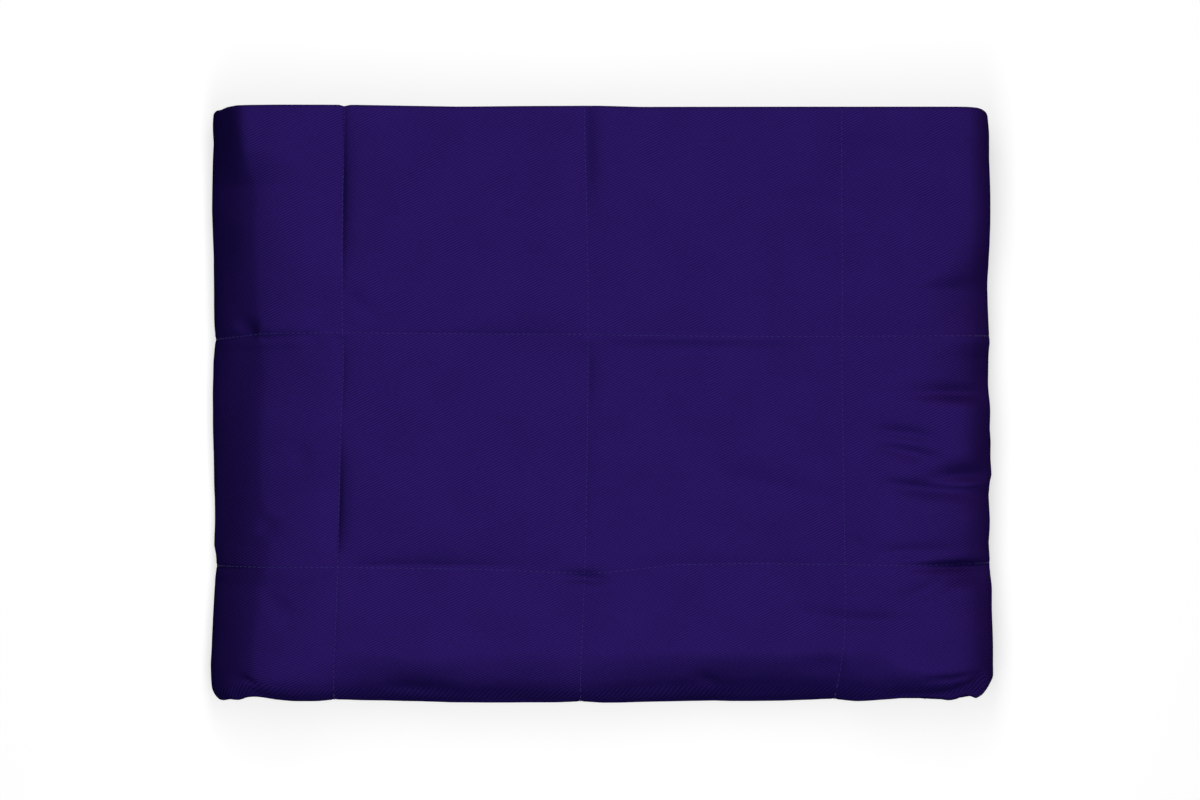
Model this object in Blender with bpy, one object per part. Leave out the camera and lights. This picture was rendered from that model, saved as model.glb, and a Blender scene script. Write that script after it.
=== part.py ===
"""Weighted blanket: one filled quilt, folded back and forth in thirds and then wrapped in thirds.

The quilt starts flat, as a grid of sewn cells with a thickness. Every corner of that grid is then
carried to its place in the folds, so the solid has the blanket's true layers, folds and hems.
X runs across the folded blanket, Y from its front fold to its back edge, and Z is up.
"""

import math
from typing import NamedTuple

import bmesh
import bpy
import numpy as np

# Driving sizes, in metres.
LAYER = 0.0065  # thickness of the filled quilt inside a cell
AIR = 0.0010  # gap between two layers that lie on each other
SEAM = 0.0030  # thickness where a seam or the hem pinches the quilt
SLOPE = 0.012  # from a seam to the full thickness of the cell beside it
CROWN = 0.0015  # extra height in the middle of the cells that lie on top
PITCH = LAYER + AIR  # from the middle of one layer to the middle of the next
STRIP = 3 * PITCH  # height of a strip of three layers

HALF_WIDTH = 0.203  # of the folded blanket, before its edges are made uneven
BACK = 0.156  # where the hem of the layer on top lies
FRONT = -0.156  # how far the front fold reaches
FLAP_COLUMNS = 4  # cells between the hem and the nearest seam on top, on each flap
HIDDEN_ROWS = 6  # cells between the last seam that shows and the far hem
TURN_STEPS = 8
SAME_LINE = 1e-6  # grid lines nearer than this are one line
SHARP_EDGE = 60  # degrees between faces, as at the hem

CLOTH_COLOUR = "27165B"
CLOTH_ROUGHNESS = 0.88


class Layer(NamedTuple):
    """A straight stretch of folded cloth, and the half-round turn that joins it to the next one."""

    name: str
    start: float
    end: float
    level: float
    face: int  # 1 where the face side looks up, -1 where it looks down
    depth: float  # how far its turn reaches, against a round one


# The quilt folded back and forth into a strip of three layers, seen from the side.
ALONG = (
    Layer("top layer", BACK, -0.1492, 2 * PITCH, 1, 1.0),
    Layer("middle layer", -0.1492, 0.1465, PITCH, -1, 1.0),
    Layer("lower layer", 0.1465, -0.1530, 0.0, 1, 1.0),
)

# The strip wrapped in thirds, seen from the front: the big wrap is at the left.
ACROSS = (
    Layer("outer flap", 0.1900, -0.1698, 0.0, -1, 1.0),
    Layer("top strip", -0.1698, 0.1910, 2 * STRIP, 1, 0.55),
    Layer("inner flap", 0.1910, -0.1660, STRIP, -1, 1.0),
)

# Seams that show on top, by their place in the folded blanket.
TOP_SEAMS_X = (-0.1343, -0.0084, 0.1256)
TOP_SEAMS_Y = (0.0353, -0.0852)


class Sides(NamedTuple):
    """How far the folded sides reach, at a place between the front and the back."""

    y: float
    left: float
    right: float


SIDES = (
    Sides(-0.154, -0.2020, 0.1990),  # front corners, drawn in
    Sides(-0.142, -0.2042, 0.2045),
    Sides(-0.112, -0.2030, 0.2045),
    Sides(-0.085, -0.2010, 0.2022),  # pinched at the second seam
    Sides(-0.048, -0.2024, 0.2024),
    Sides(-0.038, -0.2022, 0.2040),
    Sides(0.010, -0.2026, 0.2022),
    Sides(0.035, -0.2012, 0.2018),  # pinched at the first seam
    Sides(0.093, -0.2031, 0.2034),
    Sides(0.139, -0.2022, 0.2032),
    Sides(0.152, -0.2028, 0.2005),  # back corners
)


class Ends(NamedTuple):
    """Where the layer on top ends at the back and the front, at a place across the blanket."""

    x: float
    back: float
    front: float


ENDS = (
    Ends(-0.2030, 0.1494, -0.1463),  # corners of the left side, drawn in
    Ends(-0.1900, 0.1562, -0.1485),
    Ends(-0.1710, 0.1562, -0.1536),
    Ends(-0.1480, 0.1560, -0.1555),
    Ends(-0.0100, 0.1552, -0.1562),
    Ends(0.0460, 0.1547, -0.1539),
    Ends(0.1280, 0.1547, -0.1547),
    Ends(0.1600, 0.1548, -0.1520),
    Ends(0.1910, 0.1549, -0.1475),
    Ends(0.2030, 0.1500, -0.1450),  # corners of the right side
)


def turn_length(layer, following):
    """Length of cloth in a turn: half of an ellipse, by its mean radius."""
    radius = abs(following.level - layer.level) / 2
    return math.pi * radius * math.sqrt((1 + layer.depth**2) / 2)


def spans(layers):
    """For each layer, where it begins and ends in distance along the cloth."""
    found, travelled = [], 0.0
    for layer, following in zip(layers, layers[1:] + (None,)):
        finish = travelled + abs(layer.end - layer.start)
        found.append((travelled, finish))
        if following:
            travelled = finish + turn_length(layer, following)
    return found


def place(layers, travelled, offset):
    """Carries a point of the flat cloth into the folded section, as (sideways, height)."""
    for index, (layer, (begin, finish)) in enumerate(zip(layers, spans(layers))):
        heading = math.copysign(1.0, layer.end - layer.start)
        if travelled <= finish or index == len(layers) - 1:
            return layer.start + heading * (travelled - begin), layer.level + layer.face * offset
        following = layers[index + 1]
        angle = math.pi * (travelled - finish) / turn_length(layer, following)
        if angle < math.pi:
            rise = following.level - layer.level
            towards = math.copysign(1.0, rise)
            radius = abs(rise) / 2 - towards * layer.face * offset
            sideways = layer.end + heading * layer.depth * radius * math.sin(angle)
            return sideways, layer.level + rise / 2 - towards * radius * math.cos(angle)


def turn_lines(layers):
    """Grid lines of the turns, from the end of each layer to the start of the next."""
    found = spans(layers)
    return [
        step
        for (_, finish), (begin, _) in zip(found, found[1:])
        for step in np.linspace(finish, begin, TURN_STEPS + 1)
    ]


def seam_lines(layers, shown, before, after):
    """Distances of all seams and both hems: evenly spaced where they don't show."""
    found = spans(layers)
    top = max(range(len(layers)), key=lambda index: layers[index].level)
    begin = found[top][0]
    visible = [begin + abs(at - layers[top].start) for at in shown]
    total = found[-1][1]
    first = list(np.linspace(0.0, visible[0], before + 1)[:-1])
    last = list(np.linspace(visible[-1], total, after + 1)[1:])
    return first + visible + last


def grid_lines(layers, seams):
    """All grid lines one way: hems, seams with a slope on each side, turns and top cells."""
    slopes = [seam + side * SLOPE for seam in seams for side in (-1, 1)]
    top = max(range(len(layers)), key=lambda index: layers[index].level)
    begin, finish = spans(layers)[top]
    middles = [(a + b) / 2 for a, b in zip(seams, seams[1:])]
    crowns = [at for at in middles if begin < at < finish]
    lines = sorted(seams + slopes + turn_lines(layers) + crowns)
    kept = [at for at in lines if 0.0 <= at <= seams[-1]]
    return [at for at, following in zip(kept, kept[1:] + [math.inf]) if following - at > SAME_LINE]


def fullness(at, seams):
    """0 on a seam or a hem, 1 inside a cell."""
    nearest = min(abs(at - seam) for seam in seams)
    return min(nearest / SLOPE, 1.0)


def crown(at, seams):
    """0 at the seams of a cell and 1 in its middle, as a low dome."""
    index = int(np.clip(np.searchsorted(seams, at) - 1, 0, len(seams) - 2))
    share = (at - seams[index]) / (seams[index + 1] - seams[index])
    return math.sin(math.pi * min(max(share, 0.0), 1.0))


def uneven(x, y, height):
    """Moves the tidy folds to the places where the blanket's own edges lie."""
    reach = Sides._fields.index("left" if x < 0 else "right")
    side = np.interp(y, [row.y for row in SIDES], [row[reach] for row in SIDES])
    end = Ends._fields.index("front" if y < 0 else "back")
    drawn = np.interp(x, [row.x for row in ENDS], [row[end] for row in ENDS])
    nominal = FRONT if y < 0 else BACK
    share = min(max(height / STRIP, 0.0), 1.0)  # fades out down the lowest flap, whose corners show
    return x * abs(side) / HALF_WIDTH, y * (1 + share * (drawn / nominal - 1))


def fold(column, row, side, column_seams, row_seams):
    """Place of one corner of the grid: side is 1 on the face of the quilt and -1 on its back."""
    thickness = SEAM + (LAYER - SEAM) * min(fullness(column, column_seams), fullness(row, row_seams))
    offset = side * thickness / 2
    column_span, row_span = spans(ACROSS)[1], spans(ALONG)[0]
    on_top = column_span[0] < column < column_span[1] and row < row_span[1]
    if side > 0 and on_top:
        offset += CROWN * crown(column, column_seams) * crown(row, row_seams)
    y, inside = place(ALONG, row, offset)
    x, z = place(ACROSS, column, inside - PITCH)
    height = z + PITCH + LAYER / 2
    x, y = uneven(x, y, height)
    return x, y, height


def linear(hex_colour):
    """A written sRGB colour as the linear values that a shader takes."""
    parts = [int(hex_colour[i : i + 2], 16) / 255 for i in (0, 2, 4)]
    return [c / 12.92 if c <= 0.04045 else ((c + 0.055) / 1.055) ** 2.4 for c in parts] + [1.0]


def cloth_material():
    """Plain dark violet cotton twill."""
    material = bpy.data.materials.new("violet cotton twill")
    material.use_nodes = True
    shader = material.node_tree.nodes["Principled BSDF"]
    shader.inputs["Base Color"].default_value = linear(CLOTH_COLOUR)
    shader.inputs["Roughness"].default_value = CLOTH_ROUGHNESS
    shader.inputs["Metallic"].default_value = 0.0
    return material


def make_blanket(collection):
    """The flat grid, given its second side and its edges, and then folded."""
    column_seams = seam_lines(ACROSS, TOP_SEAMS_X, FLAP_COLUMNS, FLAP_COLUMNS)
    row_seams = seam_lines(ALONG, TOP_SEAMS_Y, 1, HIDDEN_ROWS)
    columns = grid_lines(ACROSS, column_seams)
    rows = grid_lines(ALONG, row_seams)

    bm = bmesh.new()
    bmesh.ops.create_grid(bm, x_segments=len(columns) - 1, y_segments=len(rows) - 1, size=0.5)
    corners = {v: (v.co.x + 0.5, v.co.y + 0.5) for v in bm.verts}
    for v, (across, along) in corners.items():
        v.co.x = round(across * (len(columns) - 1))
        v.co.y = round(along * (len(rows) - 1))
    made = bmesh.ops.extrude_face_region(bm, geom=bm.faces[:])
    for item in made["geom"]:
        if isinstance(item, bmesh.types.BMVert):
            item.co.z = 1.0
    for v in bm.verts:
        side = 1 if v.co.z > 0.5 else -1
        column, row = columns[round(v.co.x)], rows[round(v.co.y)]
        v.co = fold(column, row, side, column_seams, row_seams)

    low = [min(v.co[axis] for v in bm.verts) for axis in range(3)]
    high = [max(v.co[axis] for v in bm.verts) for axis in range(3)]
    middle = (-(low[0] + high[0]) / 2, -(low[1] + high[1]) / 2, -low[2])
    bmesh.ops.translate(bm, verts=bm.verts[:], vec=middle)
    bmesh.ops.recalc_face_normals(bm, faces=bm.faces[:])

    mesh = bpy.data.meshes.new("blanket")
    bm.to_mesh(mesh)
    bm.free()
    mesh.shade_smooth()
    mesh.set_sharp_from_angle(angle=math.radians(SHARP_EDGE))
    mesh.materials.append(cloth_material())
    collection.objects.link(bpy.data.objects.new("blanket", mesh))


def main():
    for old in list(bpy.data.objects):
        bpy.data.objects.remove(old, do_unlink=True)
    collection = bpy.data.collections.new("Weighted blanket")
    bpy.context.scene.collection.children.link(collection)
    make_blanket(collection)


main()
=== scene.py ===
# %% [markdown]
# # A folded weighted blanket
#
# The real thing is two panels of dark violet cotton twill with small beads and thin wadding shut
# between them in sewn squares. Here it lies folded as it would on a shelf: back and forth in
# thirds, and then wrapped in thirds, so that its left side is one big soft roll. We make it the way
# it is made: one flat quilt first, and then the folds. A cloth simulation could fold it as well,
# but it would lay the creases where it likes, and here each has its own place. A flat grid also
# keeps the cloth's true lengths, so the weave and the stitches come out at the right size
# everywhere.

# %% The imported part, which everything is built round
import math
import random
from typing import NamedTuple

import bmesh
import bpy
import numpy as np
from mathutils import Matrix, Vector, noise


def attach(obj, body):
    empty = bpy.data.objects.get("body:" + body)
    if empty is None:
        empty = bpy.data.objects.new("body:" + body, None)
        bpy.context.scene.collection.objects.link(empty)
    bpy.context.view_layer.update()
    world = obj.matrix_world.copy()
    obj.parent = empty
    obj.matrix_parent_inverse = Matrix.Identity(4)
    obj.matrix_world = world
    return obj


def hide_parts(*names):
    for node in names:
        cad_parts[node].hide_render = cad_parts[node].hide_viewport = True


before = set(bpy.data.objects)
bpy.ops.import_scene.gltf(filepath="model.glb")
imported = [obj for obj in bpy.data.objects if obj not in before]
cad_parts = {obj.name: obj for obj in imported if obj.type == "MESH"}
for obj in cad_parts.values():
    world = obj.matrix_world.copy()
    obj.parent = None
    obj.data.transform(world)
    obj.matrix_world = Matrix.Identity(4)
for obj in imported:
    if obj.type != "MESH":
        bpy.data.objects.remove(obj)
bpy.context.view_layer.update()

MM = 0.001

# %% [markdown]
# ## How the blanket is folded
#
# Two short tables say it all. The first is the quilt laid back and forth, cut from front to back:
# the layer that shows on top, a middle one and a lower one. The second is that strip of three
# layers wrapped in thirds, cut across: an outer flap below, the part on top, and an inner flap
# between them. Each row is one straight stretch, and a turn joins it to the next.

# %% The two folded sections
LAYER = 6.5 * MM  # thickness of the filled quilt inside a cell
AIR = 1.0 * MM  # between two layers that lie on each other
PITCH = LAYER + AIR
STRIP = 3 * PITCH  # height of a strip of three layers


class Span(NamedTuple):
    """Where a stretch begins and ends, in distance along the flat cloth."""

    begin: float
    end: float

    @property
    def length(self):
        return self.end - self.begin


class Layer(NamedTuple):
    """A straight stretch of folded cloth, and the shape of the turn that follows it."""

    name: str
    start: float
    end: float
    level: float
    face: int  # 1 where the face side looks up, -1 where it looks down
    depth: float  # of the turn, against a round one


ALONG = (
    Layer("top layer", 0.1560, -0.1492, 2 * PITCH, 1, 1.0),
    Layer("middle layer", -0.1492, 0.1465, PITCH, -1, 1.0),
    Layer("lower layer", 0.1465, -0.1530, 0.0, 1, 1.0),
)
ACROSS = (
    Layer("outer flap", 0.1900, -0.1698, 0.0, -1, 1.0),
    Layer("top strip", -0.1698, 0.1910, 2 * STRIP, 1, 0.55),
    Layer("inner flap", 0.1910, -0.1660, STRIP, -1, 1.0),
)


def turn_length(layer, following):
    """Length of cloth in a turn: half of an ellipse, by its mean radius."""
    radius = abs(following.level - layer.level) / 2
    return math.pi * radius * math.sqrt((1 + layer.depth**2) / 2)


def spans(layers):
    """Where each layer lies along the flat cloth."""
    found, travelled = [], 0.0
    for layer, following in zip(layers, layers[1:] + (None,)):
        finish = travelled + abs(layer.end - layer.start)
        found.append(Span(travelled, finish))
        if following:
            travelled = finish + turn_length(layer, following)
    return found


def rising(value, begin, over):
    """0 as far as begin, 1 once over has passed, and a straight slope in between."""
    return np.clip((value - begin) / over, 0, 1)


def place(layers, travelled, offset):
    """Carries points of the flat cloth into a folded section, as (sideways, height)."""
    sideways, height = np.zeros_like(travelled), np.zeros_like(travelled)
    found = spans(layers)
    for index, (layer, span) in enumerate(zip(layers, found)):
        heading = math.copysign(1.0, layer.end - layer.start)
        here = travelled >= span.begin if index else np.ones_like(travelled, bool)
        sideways = np.where(here, layer.start + heading * (travelled - span.begin), sideways)
        height = np.where(here, layer.level + layer.face * offset, height)
        if index + 1 == len(layers):
            break
        rise = layers[index + 1].level - layer.level
        towards = math.copysign(1.0, rise)
        share = rising(travelled, span.end, found[index + 1].begin - span.end)
        radius = abs(rise) / 2 - towards * layer.face * offset
        bend = heading * layer.depth * radius * np.sin(math.pi * share)
        climb = layer.level + rise / 2 - towards * radius * np.cos(math.pi * share)
        turning = travelled > span.end
        sideways = np.where(turning, layer.end + bend, sideways)
        height = np.where(turning, climb, height)
    return sideways, height


outer_flap, top_strip, inner_flap = spans(ACROSS)
top_layer, middle_layer, lower_layer = spans(ALONG)
left_wrap = Span(outer_flap.end, top_strip.begin)
right_fold = Span(top_strip.end, inner_flap.begin)
front_fold = Span(top_layer.end, middle_layer.begin)
back_fold = Span(middle_layer.end, lower_layer.begin)
FLAT_WIDTH, FLAT_LENGTH = inner_flap.end, lower_layer.end
print(f"flat blanket: {FLAT_WIDTH:.3f} by {FLAT_LENGTH:.3f} m")


def carried(column, row, offset):
    """Carries points of the flat cloth through both folds."""
    y, inside = place(ALONG, row, offset)
    x, z = place(ACROSS, column, inside - PITCH)
    return x, y, z + PITCH + LAYER / 2


# %% [markdown]
# ## Where the quilting seams run
#
# Three seams run front to back on the part that shows and two run across it. No sewn line is quite
# straight: each wanders a millimetre or two, and the cloth goes with it. We keep the grid of the
# flat quilt straight, which is far easier to build, and bend it on to the wandering seams
# afterwards. The seams that don't show are evenly spaced.

# %% Seams
TOP_SEAMS_X = (-134.3 * MM, -8.1 * MM, 125.8 * MM)
TOP_SEAMS_Y = (35.4 * MM, -85.2 * MM)
FLAP_CELLS, HIDDEN_CELLS = 4, 6  # from the seams that show to each side's hem, and to the far hem
HALF_WIDTH, HALF_LENGTH = 0.2035, 0.156  # where the wander has died out, at the edges

# Sideways wander of each seam in mm, by the place from front to back (y) or left to right (x).
WANDER_X = {
    "y": (-155, -139, -120, -103, -85, -58, -20, 15, 36, 60, 80, 110, 140, 150),
    "left": (-6.0, -5.4, -4.5, -3.7, -3.2, -3.0, -1.9, -0.3, -0.6, -0.9, -1.1, -0.9, -0.1, 0.1),
    "middle": (-3.1, -2.9, -2.2, -1.5, -0.8, 0.0, 0.5, 0.9, 1.0, 1.0, 0.6, 0.0, -0.8, -1.0),
    "right": (-3.3, -1.2, 0.7, 1.1, 0.7, 0.3, -0.2, -0.9, -0.8, -0.6, -0.7, -0.9, -0.9, -0.9),
}
WANDER_Y = {
    "x": (-204, -177, -140, -60, -8, 5, 40, 80, 125, 170, 204),
    "first": (-1.4, 1.2, 1.7, 1.0, 0.9, 0.4, 0.0, -0.4, -0.2, 0.0, 0.4),
    "second": (-0.5, -0.1, 0.2, -1.0, -3.0, -2.3, 1.6, 2.2, 1.6, 1.0, 1.6),
}


def seam_lines(layers, top, shown, before, after):
    """Distances along the cloth of the hems and all the seams between them."""
    found = spans(layers)
    visible = [found[top].begin + abs(at - layers[top].start) for at in shown]
    first = list(np.linspace(0.0, visible[0], before + 1)[:-1])
    last = list(np.linspace(visible[-1], found[-1].end, after + 1)[1:])
    return first + visible + last


column_seams = seam_lines(ACROSS, 1, TOP_SEAMS_X, FLAP_CELLS, FLAP_CELLS)
row_seams = seam_lines(ALONG, 0, TOP_SEAMS_Y, 1, HIDDEN_CELLS)
past_shown = FLAP_CELLS + len(TOP_SEAMS_X)
hidden_left, shown_columns = column_seams[1:FLAP_CELLS], column_seams[FLAP_CELLS:past_shown]
hidden_right = column_seams[past_shown:-1]
shown_rows, hidden_rows = row_seams[1:3], row_seams[3:-1]
print(f"{len(column_seams) - 1} by {len(row_seams) - 1} cells")


def between(x, places, amounts, edge):
    """The wander at x, shared out from one seam to the next and down to nothing at the edges."""
    stops = [-edge, *places, edge]
    total = np.zeros_like(x)
    for index, amount in enumerate(amounts):
        hat = np.interp(x, stops, [1.0 if at == index + 1 else 0.0 for at in range(len(stops))])
        total += hat * amount
    return total


def wander(x, y):
    """Moves the straight cells of the plan on to the seams as they were sewn."""
    dx = [np.interp(y / MM, WANDER_X["y"], WANDER_X[k]) * MM for k in ("left", "middle", "right")]
    dy = [np.interp(x / MM, WANDER_Y["x"], WANDER_Y[k]) * MM for k in ("first", "second")]
    forward = [-at for at in TOP_SEAMS_Y]
    return (
        x + between(x, TOP_SEAMS_X, dx, HALF_WIDTH),
        y + between(-y, forward, dy, HALF_LENGTH),
    )


# %% [markdown]
# ## The outline
#
# The fold at the left and the fold at the right are nearly straight, with a small notch where a
# seam pinches them. The corners are drawn in, because a corner has more cloth to turn than a
# straight edge has. Tidy folds come first, and five small tables then stretch them out to the
# uneven edges of the real thing.

# %% How far the edges reach
TIDY_SIDE, TIDY_END = 203.1 * MM, 156.0 * MM  # how far the tidy folds reach
# Where something begins, and the stretch that it grows over: the top layer's own outline by
# height, and the pull on the sides and the ends in mm from the middle.
TOP_OUTLINE = (1.7 * STRIP, 0.6 * STRIP)
PULLED_SIDE, PULLED_END = (150, 50), (110, 40)

# Reach of the folded sides in mm, by the place from front to back.
LEFT_SIDE = {
    "y": (-156, -146, -137, -112, -92, -86, -80, -75, -49, 23, 30, 34, 40, 56, 76, 102, 139, 150,
          156),
    "x": (-205.4, -206.2, -206.6, -205.8, -205.2, -204.8, -204.9, -205.6, -205.4, -205.9, -205.7,
          -205.2, -205.4, -205.2, -205.2, -205.8, -204.8, -205.8, -206.0),
}
RIGHT_SIDE = {
    "y": (-156, -150, -147, -129, -83, -73, -66, -48, -38, -29, -20, -13, -5, 10, 32, 36, 40, 53,
          67, 93, 130, 143, 148, 153, 156),
    "x": (203.4, 205.2, 206.2, 206.4, 205.6, 204.6, 204.9, 204.4, 206.0, 205.0, 205.0, 204.4, 204.6,
          204.4, 205.2, 205.0, 205.0, 204.6, 204.4, 204.6, 203.4, 203.6, 203.4, 203.2, 202.8),
}
# Reach of the hem at the back and of the front fold, by the place across. The layers below the
# top one show past it at the front corners.
BACK_EDGE = {
    "x": (-203, -199, -194, -190, -186, -137, -134, -131, -74, -9, 20, 148, 190, 196, 199, 203),
    "y": (154.6, 155.0, 155.9, 156.2, 156.0, 156.0, 155.2, 155.9, 154.9, 155.6, 154.8, 154.9, 154.9,
          154.8, 154.6, 154.2),
}
FRONT_EDGE = {
    "x": (-204, -199, -194, -181, -171, -161, -148, -53, -10, 36, 98, 128, 145, 159, 170, 177, 182,
          186, 195, 200, 204),
    "y": (-146.0, -147.0, -148.0, -151.0, -153.6, -155.2, -155.6, -154.7, -156.2, -153.9, -154.1,
          -154.7, -153.6, -152.0, -151.8, -151.4, -151.0, -149.6, -147.0, -145.6, -144.0),
}
FRONT_LOWER = {
    "x": (-204, -200, -194, -188, -178, -165, -60, 0, 60, 110, 145, 170, 181, 185, 190, 195, 200,
          204),
    "y": (-156.9, -157.0, -155.8, -155.4, -154.8, -155.6, -156.4, -156.8, -155.8, -156.4, -156.6,
          -157.2, -159.6, -159.2, -156.4, -155.0, -154.0, -152.0),
}


def edge(table, at):
    """Reach of an edge in mm, the second column of its table, at places along it."""
    return np.interp(at / MM, *table.values())


def outline(x, y, z):
    """Stretches the tidy folds out to their own uneven edges."""
    left, right, back = edge(LEFT_SIDE, y) * MM, edge(RIGHT_SIDE, y) * MM, edge(BACK_EDGE, x) * MM
    upper = rising(z, *TOP_OUTLINE)
    front = upper * edge(FRONT_EDGE, x) * MM
    front += (1 - upper) * edge(FRONT_LOWER, x) * MM
    side = np.where(x < 0, -left, right) / TIDY_SIDE
    end = np.where(y < 0, -front, back) / TIDY_END
    near_side = rising(np.abs(x) / MM, *PULLED_SIDE)
    near_end = rising(np.abs(y) / MM, *PULLED_END)
    return x * (1 + near_side * (side - 1)), y * (1 + near_end * (end - 1))


# %% [markdown]
# ## Creases and soft hollows
#
# Cloth that has been folded by hand is never smooth. Most of what the eye reads as "blanket" is in
# these few rows: the wrinkles that run in from the right fold, the puffed cell beside the left
# seam, the soft hollows in the front. Each row is a line with a depth, and with its own width on
# either side, because a fold in cloth is nearly always steep on one side and soft on the other.
# They could be sculpted, but rows of numbers can be read and changed. The layers below take the
# same troughs, wider, and weaker the further down they lie.

# %% Creases in the top layer
class Crease(NamedTuple):
    """A trough from one point to another, in mm. A negative depth makes it a ridge."""

    x1: float
    y1: float
    x2: float
    y2: float
    bow: float  # how far its middle bends to the left of its direction
    depth: float
    left: float  # width to the left of its direction
    right: float
    deepest: float  # where along it: near 0 by its start, near 1 by its end
    sharp: float = 2.0  # 2 for a rounded bottom, 1 for a sharp one


CREASES = (
    # In from the right fold.
    Crease(148, 4.6, 206, 4.2, 1.0, 11.0, 5.5, 3.2, 0.66),
    Crease(138, -14, 176, -18, 0.5, 4.0, 3.6, 3.0, 0.5),
    Crease(142, -22, 178, -30, 0.5, 4.6, 3.6, 4.0, 0.45),
    Crease(158, -38.8, 206, -37, -0.5, 12.0, 6.0, 2.6, 0.66),
    Crease(142, -41, 207, -45, -1.5, 8.5, 3.4, 4.5, 0.55),
    Crease(140, -78, 190, -77, 0.5, 3.0, 4.0, 3.0, 0.45),
    Crease(152, -85.6, 207, -85.4, 0.0, 9.0, 3.4, 2.4, 0.62),
    Crease(162, -90.5, 207, -89.5, 0.5, 11.0, 6.0, 4.5, 0.66),
    Crease(150, -107, 186, -92, 2.0, 4.0, 4.5, 4.5, 0.6),
    Crease(92, -105, 176, -110, -6.0, 3.6, 5.0, 5.0, 0.5),
    # Soft hollows on the right of the top.
    Crease(50, -34, 134, -54, 0.0, 3.0, 7.0, 9.0, 0.5),
    Crease(76, 104, 138, 103, 0.0, 2.4, 8.0, 8.0, 0.5),
    Crease(94, 134, 160, 133, 0.0, 2.2, 7.0, 8.0, 0.5),
    Crease(94, 57, 106, 54, 0.0, 0.8, 2.0, 3.0, 0.5),
    Crease(126, 32, 131, 26, 0.0, 1.0, 2.5, 2.5, 0.4),
    Crease(128, -67, 139, -77, 0.0, 1.0, 2.0, 3.0, 0.5),
    # The cells to the right of the left seam stand higher than those to its left.
    Crease(-134.6, 168, -135.2, 54, 0.0, 6.8, 3.2, 22, 0.5, 1.0),
    Crease(-133, 58, -116, 47, -2.0, 2.0, 5.0, 3.0, 0.3),
    Crease(-134.4, 36, -135.6, -10, 0.0, 3.2, 3.5, 20, 0.4, 1.0),
    Crease(-135.4, -6, -138.2, -86, 0.0, 7.4, 3.6, 24, 0.62, 1.0),
    Crease(-138.5, -92, -140.5, -152, 0.0, 0.7, 2.0, 10, 0.5, 1.0),
    # The middle seam.
    Crease(-9.4, 175, -8.4, 90, 0.0, 5.0, 5.5, 22, 0.45),
    Crease(-7.4, 33, -7.8, -8, 0.0, 3.0, 4.0, 18, 0.4),
    Crease(-8.2, -10, -9.4, -80, 0.0, 0.8, 3.0, 12, 0.5),
    # The first seam across: a hollow to its left, a low ridge to its right.
    Crease(-177, 34.0, -140, 36.5, 0.0, 1.2, 1.5, 1.5, 0.2),
    Crease(-134, 36.8, -10, 36.0, 0.0, 2.2, 4.0, 14, 0.65, 1.0),
    Crease(0, 34.8, 128, 34.2, 0.0, -3.6, 5.5, 3.6, 0.35),
    Crease(-157, 33, -143, 33, 0.0, 1.3, 4.0, 4.0, 0.5),
    Crease(172, 38, 200, 37.5, 0.0, 1.4, 2.5, 2.0, 0.6),
    # The second seam across: a long soft crease on its back side.
    Crease(-136, -84.0, -22, -84.6, 0.5, 4.8, 5.0, 18, 0.35, 1.0),
    Crease(-28, -91, 4, -92.5, 1.0, 4.6, 3.6, 2.2, 0.6),
    Crease(2, -82.6, 120, -82.2, 0.0, 0.9, 2.5, 10, 0.4, 1.0),
    # Where the left wrap is pinched.
    Crease(-206, 33.8, -172, 34.8, 0.0, 2.6, 3.2, 1.6, 0.6),
    Crease(-192, 43, -178, 38, 0.0, 4.2, 4.5, 4.0, 0.6),
    Crease(-206, -87, -176, -86.8, 0.0, 2.0, 1.2, 2.5, 0.4),
    Crease(-178, -96, -157, -114, 0.0, 1.7, 4.0, 5.0, 0.5),
    Crease(-176, -70, -172, -58, 0.0, 2.2, 5.0, 5.0, 0.5),
    Crease(-160, -18, -154, -36, 0.0, 1.2, 5.0, 5.0, 0.5),
    # Along the front.
    Crease(-116, -148, -74, -152, 0.5, 2.6, 6.0, 3.0, 0.45),
    Crease(46, -142, 62, -148, 0.0, 2.2, 3.0, 3.0, 0.6),
    Crease(98, -138, 128, -136, 0.0, 2.0, 6.0, 6.0, 0.6),
    Crease(125, -134, 124, -154, 0.0, 0.6, 3.0, 2.5, 0.6),
    Crease(-194, -146, -178, -151, 0.0, 2.6, 1.5, 2.0, 0.5),
    Crease(166, -148, 196, -149, 1.0, 2.6, 2.0, 2.0, 0.5),
)
SAMPLES = 12  # straight pieces that stand for a bowed crease
MARGIN = 5  # widths out from its line, where a crease has long died out
WIDER = 7.0  # mm on each side, in the layers below


def crease_depth(x, y, crease):
    """How deep one crease is at each point."""
    begin, end = np.array(crease[:2]), np.array(crease[2:4])
    run = end - begin
    normal = np.array((-run[1], run[0])) / np.hypot(*run)
    steps = np.linspace(0, 1, SAMPLES + 1)[:, None]
    path = begin + steps * run + 4 * steps * (1 - steps) * crease.bow * normal
    nearest, along, across = np.full_like(x, np.inf), np.zeros_like(x), np.zeros_like(x)
    for index, (a, b) in enumerate(zip(path, path[1:])):
        piece = b - a
        share = np.clip(((x - a[0]) * piece[0] + (y - a[1]) * piece[1]) / (piece @ piece), 0, 1)
        dx, dy = x - a[0] - share * piece[0], y - a[1] - share * piece[1]
        distance = np.hypot(dx, dy)
        closer = distance < nearest
        side = np.sign(piece[0] * dy - piece[1] * dx)
        nearest = np.where(closer, distance, nearest)
        along = np.where(closer, (index + share) / SAMPLES, along)
        across = np.where(closer, side, across)
    width = np.where(across > 0, crease.left, crease.right)
    power = math.log(0.5) / math.log(crease.deepest)
    strength = np.sin(math.pi * np.clip(along, 1e-6, 1) ** power)
    return crease.depth * strength * np.exp(-((nearest / width) ** crease.sharp))


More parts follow.
